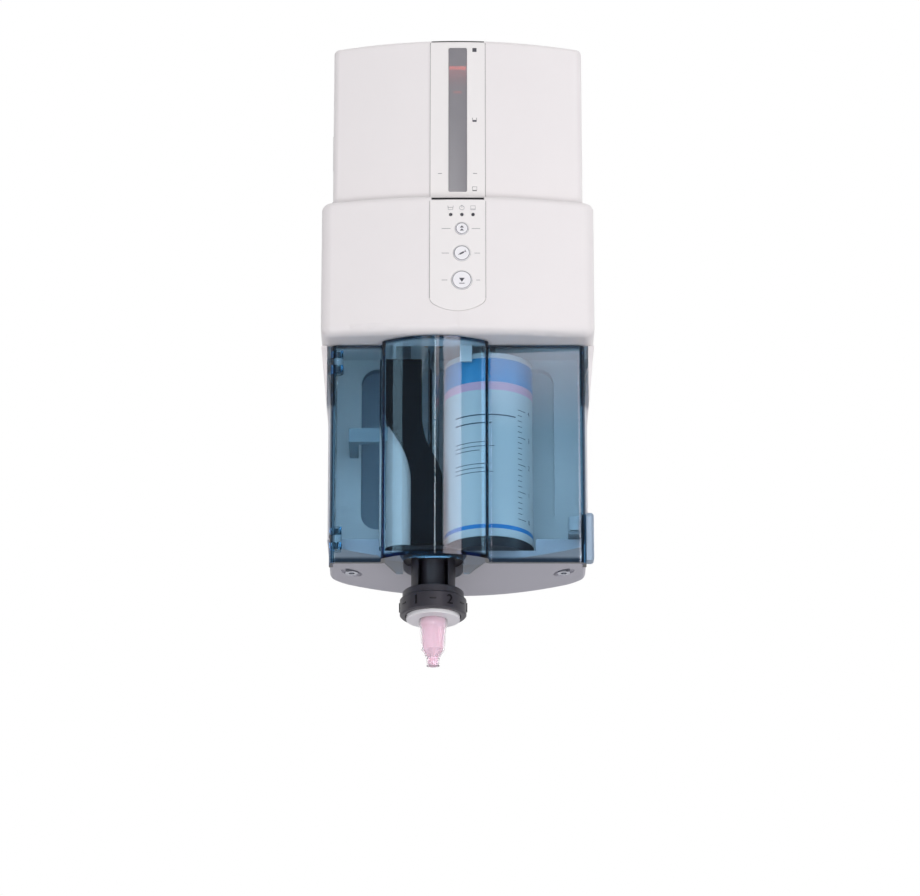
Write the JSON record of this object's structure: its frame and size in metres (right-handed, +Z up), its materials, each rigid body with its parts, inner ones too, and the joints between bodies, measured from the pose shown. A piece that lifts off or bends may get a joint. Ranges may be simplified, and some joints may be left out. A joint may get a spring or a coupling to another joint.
{
  "type": "dental impression mixer",
  "caption": "Wall-mounted dental impression mixer with a tinted side-hinged door, level window, three keys, rack-driven plungers, cartridge and geared mixing tip.",
  "frame": {"origin": "centre of the four wall-screw holes, on the wall plane", "axes": "+X to the right seen from the front, +Y into the wall, +Z up"},
  "size_m": [0.19, 0.1228, 0.4542],
  "materials": {
    "case_white": "moulded, satin gloss",
    "case_grey": "moulded, fine texture",
    "fascia_white": "smooth film",
    "smoked_lens": "smoked clear",
    "lamp_lens": "dark lens",
    "circuit_green": "solder mask",
    "black_plastic": "moulded",
    "liner_plastic": "moulded",
    "plain_steel": "machined",
    "bright_steel": "ground",
    "frame_aluminium": "folded sheet",
    "bearing_bronze": "sintered",
    "motor_steel": "plated can",
    "zinc_screw": "zinc plated",
    "bracket_paint": "powder coat",
    "dark_plastic": "moulded charcoal",
    "cartridge_plastic": "polypropylene",
    "label_film": "printed film",
    "tip_white": "moulded",
    "tip_clear": "clear moulding",
    "paste_pink": "soft paste",
    "door_tint": "tinted clear moulding",
    "grip_blue": "moulded",
    "key_white": "moulded",
    "plunger_plastic": "moulded",
    "seal_rubber": "moulded",
    "pointer_coral": "moulded",
    "gear_plastic": "acetal"
  },
  "bodies": {
    "housing": {"rear_shell": "case_white", "front_shell": "case_white", "base": "case_grey", "base_screws": "zinc_screw", "wall_bracket": "bracket_paint", "bracket_screws": "zinc_screw", "case_screws": "zinc_screw", "display_fascia": "fascia_white", "indicator_lens": "smoked_lens", "control_fascia": "fascia_white", "status_lamps": "lamp_lens", "circuit_board": "circuit_green", "key_switches": "black_plastic", "bay_liner": "liner_plastic", "bulkhead": "liner_plastic", "standoffs": "plain_steel", "drive_frame": "frame_aluminium", "guide_rods": "bright_steel", "shaft_bearings": "bearing_bronze", "feed_motor": "motor_steel", "mixer_motor": "motor_steel", "power_supply": "black_plastic", "power_inlet": "black_plastic", "switch_frame": "black_plastic", "hinge_lugs": "dark_plastic", "catch_bracket": "dark_plastic", "catch_magnet": "motor_steel", "base_cylinder": "cartridge_plastic", "catalyst_cylinder": "dark_plastic", "cartridge_label": "label_film", "cartridge_head": "dark_plastic", "cartridge_clip": "liner_plastic", "shaft_guard": "dark_plastic", "tip_disc": "tip_white", "mixing_tip": "tip_clear", "paste_core": "paste_pink"},
    "door": {"door_cover": "door_tint", "grip_tab": "grip_blue", "hinge_pins": "bright_steel", "catch_keeper": "plain_steel"},
    "up_button": {"up_key": "key_white"},
    "syringe_button": {"syringe_key": "key_white"},
    "start_button": {"start_key": "key_white"},
    "carriage": {"crosshead": "frame_aluminium", "rack_rods": "plain_steel", "plungers": "plunger_plastic", "plunger_seals": "seal_rubber", "level_pointer": "pointer_coral"},
    "feed_drive": {"feed_shaft": "bright_steel", "rack_pinions": "plain_steel", "feed_gear": "gear_plastic"},
    "feed_motor_shaft": {"feed_pinion": "plain_steel"},
    "mixer": {"mixer_shaft": "bright_steel", "mixer_gear": "gear_plastic", "mixing_rotor": "tip_white"},
    "mixer_motor_shaft": {"mixer_pinion": "plain_steel"},
    "bayonet_ring": {"lock_ring": "dark_plastic"},
    "rocker": {"power_rocker": "black_plastic"}
  },
  "joints": [
    {"name": "door_hinge", "type": "hinge", "parent": "housing", "child": "door", "pos_m": [-0.083, -0.0915, -0.125], "axis": [0, 0, -1], "range_deg": [0, 100]},
    {"name": "up_press", "type": "slide", "parent": "housing", "child": "up_button", "axis": [0, 1, 0], "range_m": [0, 0.001], "stiffness_N_per_m": 300, "springref_m": -0.0005},
    {"name": "syringe_press", "type": "slide", "parent": "housing", "child": "syringe_button", "axis": [0, 1, 0], "range_m": [0, 0.001], "stiffness_N_per_m": 300, "springref_m": -0.0005},
    {"name": "start_press", "type": "slide", "parent": "housing", "child": "start_button", "axis": [0, 1, 0], "range_m": [0, 0.001], "stiffness_N_per_m": 300, "springref_m": -0.0005},
    {"name": "carriage_feed", "type": "slide", "parent": "housing", "child": "carriage", "axis": [0, 0, -1], "range_m": [-0.012, 0.098]},
    {"name": "feed_shaft_spin", "type": "hinge", "parent": "housing", "child": "feed_drive", "pos_m": [0, -0.047, 0.01], "axis": [1, 0, 0], "range_deg": [-69, 562]},
    {"name": "feed_motor_spin", "type": "hinge", "parent": "housing", "child": "feed_motor_shaft", "pos_m": [0.05, -0.08762, 0.01], "axis": [1, 0, 0], "range_deg": [-1586, 194.5]},
    {"name": "mixer_spin", "type": "hinge", "parent": "housing", "child": "mixer", "pos_m": [-0.0169, -0.063, -0.1], "axis": [0, 0, 1], "continuous": true},
    {"name": "mixer_motor_spin", "type": "hinge", "parent": "housing", "child": "mixer_motor_shaft", "pos_m": [-0.01149, -0.07964, -0.02], "axis": [0, 0, 1], "continuous": true},
    {"name": "bayonet_turn", "type": "hinge", "parent": "housing", "child": "bayonet_ring", "pos_m": [-0.0169, -0.063, -0.225], "axis": [0, 0, 1], "range_deg": [0, 60]},
    {"name": "rocker_tilt", "type": "hinge", "parent": "housing", "child": "rocker", "pos_m": [-0.084, -0.036, 0.088], "axis": [0, 1, 0], "range_deg": [-16, 0]}
  ],
  "couplings": [
    {"joint": "feed_shaft_spin", "follows": "carriage_feed", "rad_per_m": 100},
    {"joint": "feed_motor_spin", "follows": "carriage_feed", "rad_per_m": -282.35},
    {"joint": "mixer_motor_spin", "follows": "mixer_spin", "ratio": -1.3333}
  ]
}
